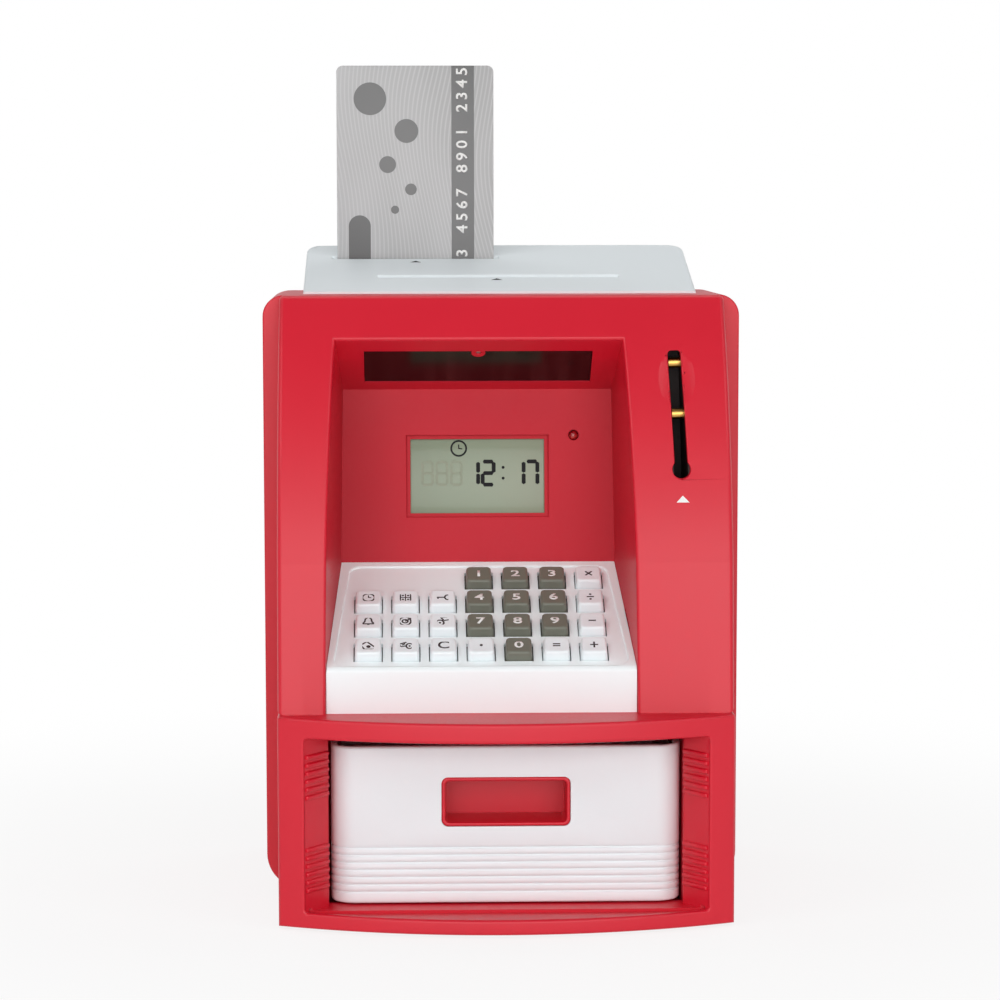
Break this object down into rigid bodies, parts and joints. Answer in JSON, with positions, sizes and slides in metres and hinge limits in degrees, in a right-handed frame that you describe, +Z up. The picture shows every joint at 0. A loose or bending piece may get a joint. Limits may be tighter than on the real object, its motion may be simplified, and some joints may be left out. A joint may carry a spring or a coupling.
{
  "type": "coin bank",
  "caption": "Money box shaped like a small cash machine, with a keypad, screen, coin slot, card slot, bill feed and a pull-out drawer.",
  "frame": {"origin": "middle of the footprint, on the surface that the rubber feet stand on", "axes": "+X to the right as seen from the front, +Y from the drawer's front to the rear wall, +Z up"},
  "size_m": [0.1574, 0.1474, 0.276],
  "materials": {
    "red_plastic": "semi-gloss moulded",
    "white_plastic": "semi-gloss moulded",
    "white_key": "satin",
    "grey_key": "satin",
    "smoked_plastic": "glossy",
    "glass": "clear over grey-green",
    "lamp": "tinted",
    "board": "solder masked",
    "rubber": "matt",
    "grey_rubber": "matt",
    "inner_plastic": "matt moulded",
    "pale_plastic": "matt moulded",
    "brass": "bright",
    "card": "laminated print",
    "steel": "bright",
    "spring_steel": "drawn wire",
    "cell": "shrink sleeve",
    "copper": "enamelled winding"
  },
  "bodies": {
    "housing": {"front_housing": "red_plastic", "drawer_surround": "red_plastic", "rear_shell": "red_plastic", "top_cap": "white_plastic", "keypad_deck": "white_plastic", "bill_window": "smoked_plastic", "lcd_panel": "glass", "led": "lamp", "main_board": "board", "keypad_board": "board", "key_mat": "grey_rubber", "coin_guide": "inner_plastic", "contacts": "brass", "card_guide": "pale_plastic", "feed_frame": "pale_plastic", "feed_motor": "steel", "bill_chute": "pale_plastic", "latch_bracket": "inner_plastic", "latch_coil": "copper", "eject_springs": "spring_steel", "battery_box": "inner_plastic", "batteries": "cell", "sounder": "brass", "rubber_feet": "rubber", "fasteners": "steel"},
    "drawer_unit": {"drawer": "white_plastic", "drawer_handle": "red_plastic"},
    "card": {"bank_card": "card"},
    "door": {"battery_door": "red_plastic"},
    "feed_roller_set": {"roller_gear": "pale_plastic", "feed_shaft": "steel", "feed_rollers": "rubber"},
    "idler_set": {"idler_rollers": "inner_plastic"},
    "pinion": {"motor_pinion": "pale_plastic"},
    "latch": {"latch_lever": "steel"},
    "key_1_cap": {"key_1": "grey_key"},
    "key_2_cap": {"key_2": "grey_key"},
    "key_3_cap": {"key_3": "grey_key"},
    "key_times_cap": {"key_times": "white_key"},
    "key_clock_cap": {"key_clock": "white_key"},
    "key_sums_cap": {"key_sums": "white_key"},
    "key_code_cap": {"key_code": "white_key"},
    "key_4_cap": {"key_4": "grey_key"},
    "key_5_cap": {"key_5": "grey_key"},
    "key_6_cap": {"key_6": "grey_key"},
    "key_divide_cap": {"key_divide": "white_key"},
    "key_alarm_cap": {"key_alarm": "white_key"},
    "key_target_cap": {"key_target": "white_key"},
    "key_balance_cap": {"key_balance": "white_key"},
    "key_7_cap": {"key_7": "grey_key"},
    "key_8_cap": {"key_8": "grey_key"},
    "key_9_cap": {"key_9": "grey_key"},
    "key_minus_cap": {"key_minus": "white_key"},
    "key_deposit_cap": {"key_deposit": "white_key"},
    "key_withdraw_cap": {"key_withdraw": "white_key"},
    "key_clear_cap": {"key_clear": "white_key"},
    "key_point_cap": {"key_point": "white_key"},
    "key_0_cap": {"key_0": "grey_key"},
    "key_equals_cap": {"key_equals": "white_key"},
    "key_plus_cap": {"key_plus": "white_key"}
  },
  "joints": [
    {"name": "drawer_slide", "type": "slide", "parent": "housing", "child": "drawer_unit", "axis": [0, -1, 0], "range_m": [0, 0.07], "deforming": ["eject_springs"]},
    {"name": "card_slide", "type": "slide", "parent": "housing", "child": "card", "axis": [0, 0, 1], "range_m": [0, 0.018]},
    {"name": "door_hinge", "type": "hinge", "parent": "housing", "child": "door", "pos_m": [0, 0.0715, 0.078], "axis": [-1, 0, 0], "range_deg": [0, 90]},
    {"name": "feed_spin", "type": "hinge", "parent": "housing", "child": "feed_roller_set", "pos_m": [0, 0.03818, 0.18], "axis": [1, 0, 0], "continuous": true},
    {"name": "idler_spin", "type": "hinge", "parent": "housing", "child": "idler_set", "pos_m": [0, 0.02882, 0.18], "axis": [1, 0, 0], "continuous": true},
    {"name": "pinion_spin", "type": "hinge", "parent": "housing", "child": "pinion", "pos_m": [0.049, 0.05337, 0.18], "axis": [1, 0, 0], "continuous": true},
    {"name": "latch_hinge", "type": "hinge", "parent": "housing", "child": "latch", "pos_m": [0, 0.066, 0.046], "axis": [1, 0, 0], "range_deg": [0, 20]},
    {"name": "key_1_press", "type": "slide", "parent": "housing", "child": "key_1_cap", "axis": [0, 0.4859, -0.874], "range_m": [0, 0.001], "stiffness_N_per_m": 300},
    {"name": "key_2_press", "type": "slide", "parent": "housing", "child": "key_2_cap", "axis": [0, 0.4859, -0.874], "range_m": [0, 0.001], "stiffness_N_per_m": 300},
    {"name": "key_3_press", "type": "slide", "parent": "housing", "child": "key_3_cap", "axis": [0, 0.4859, -0.874], "range_m": [0, 0.001], "stiffness_N_per_m": 300},
    {"name": "key_times_press", "type": "slide", "parent": "housing", "child": "key_times_cap", "axis": [0, 0.4859, -0.874], "range_m": [0, 0.001], "stiffness_N_per_m": 300},
    {"name": "key_clock_press", "type": "slide", "parent": "housing", "child": "key_clock_cap", "axis": [0, 0.4859, -0.874], "range_m": [0, 0.001], "stiffness_N_per_m": 300},
    {"name": "key_sums_press", "type": "slide", "parent": "housing", "child": "key_sums_cap", "axis": [0, 0.4859, -0.874], "range_m": [0, 0.001], "stiffness_N_per_m": 300},
    {"name": "key_code_press", "type": "slide", "parent": "housing", "child": "key_code_cap", "axis": [0, 0.4859, -0.874], "range_m": [0, 0.001], "stiffness_N_per_m": 300},
    {"name": "key_4_press", "type": "slide", "parent": "housing", "child": "key_4_cap", "axis": [0, 0.4859, -0.874], "range_m": [0, 0.001], "stiffness_N_per_m": 300},
    {"name": "key_5_press", "type": "slide", "parent": "housing", "child": "key_5_cap", "axis": [0, 0.4859, -0.874], "range_m": [0, 0.001], "stiffness_N_per_m": 300},
    {"name": "key_6_press", "type": "slide", "parent": "housing", "child": "key_6_cap", "axis": [0, 0.4859, -0.874], "range_m": [0, 0.001], "stiffness_N_per_m": 300},
    {"name": "key_divide_press", "type": "slide", "parent": "housing", "child": "key_divide_cap", "axis": [0, 0.4859, -0.874], "range_m": [0, 0.001], "stiffness_N_per_m": 300},
    {"name": "key_alarm_press", "type": "slide", "parent": "housing", "child": "key_alarm_cap", "axis": [0, 0.4859, -0.874], "range_m": [0, 0.001], "stiffness_N_per_m": 300},
    {"name": "key_target_press", "type": "slide", "parent": "housing", "child": "key_target_cap", "axis": [0, 0.4859, -0.874], "range_m": [0, 0.001], "stiffness_N_per_m": 300},
    {"name": "key_balance_press", "type": "slide", "parent": "housing", "child": "key_balance_cap", "axis": [0, 0.4859, -0.874], "range_m": [0, 0.001], "stiffness_N_per_m": 300},
    {"name": "key_7_press", "type": "slide", "parent": "housing", "child": "key_7_cap", "axis": [0, 0.4859, -0.874], "range_m": [0, 0.001], "stiffness_N_per_m": 300},
    {"name": "key_8_press", "type": "slide", "parent": "housing", "child": "key_8_cap", "axis": [0, 0.4859, -0.874], "range_m": [0, 0.001], "stiffness_N_per_m": 300},
    {"name": "key_9_press", "type": "slide", "parent": "housing", "child": "key_9_cap", "axis": [0, 0.4859, -0.874], "range_m": [0, 0.001], "stiffness_N_per_m": 300},
    {"name": "key_minus_press", "type": "slide", "parent": "housing", "child": "key_minus_cap", "axis": [0, 0.4859, -0.874], "range_m": [0, 0.001], "stiffness_N_per_m": 300},
    {"name": "key_deposit_press", "type": "slide", "parent": "housing", "child": "key_deposit_cap", "axis": [0, 0.4859, -0.874], "range_m": [0, 0.001], "stiffness_N_per_m": 300},
    {"name": "key_withdraw_press", "type": "slide", "parent": "housing", "child": "key_withdraw_cap", "axis": [0, 0.4859, -0.874], "range_m": [0, 0.001], "stiffness_N_per_m": 300},
    {"name": "key_clear_press", "type": "slide", "parent": "housing", "child": "key_clear_cap", "axis": [0, 0.4859, -0.874], "range_m": [0, 0.001], "stiffness_N_per_m": 300},
    {"name": "key_point_press", "type": "slide", "parent": "housing", "child": "key_point_cap", "axis": [0, 0.4859, -0.874], "range_m": [0, 0.001], "stiffness_N_per_m": 300},
    {"name": "key_0_press", "type": "slide", "parent": "housing", "child": "key_0_cap", "axis": [0, 0.4859, -0.874], "range_m": [0, 0.001], "stiffness_N_per_m": 300},
    {"name": "key_equals_press", "type": "slide", "parent": "housing", "child": "key_equals_cap", "axis": [0, 0.4859, -0.874], "range_m": [0, 0.001], "stiffness_N_per_m": 300},
    {"name": "key_plus_press", "type": "slide", "parent": "housing", "child": "key_plus_cap", "axis": [0, 0.4859, -0.874], "range_m": [0, 0.001], "stiffness_N_per_m": 300}
  ],
  "couplings": [
    {"joint": "pinion_spin", "follows": "feed_spin", "ratio": -2.8},
    {"joint": "idler_spin", "follows": "feed_spin", "ratio": -1.25}
  ]
}
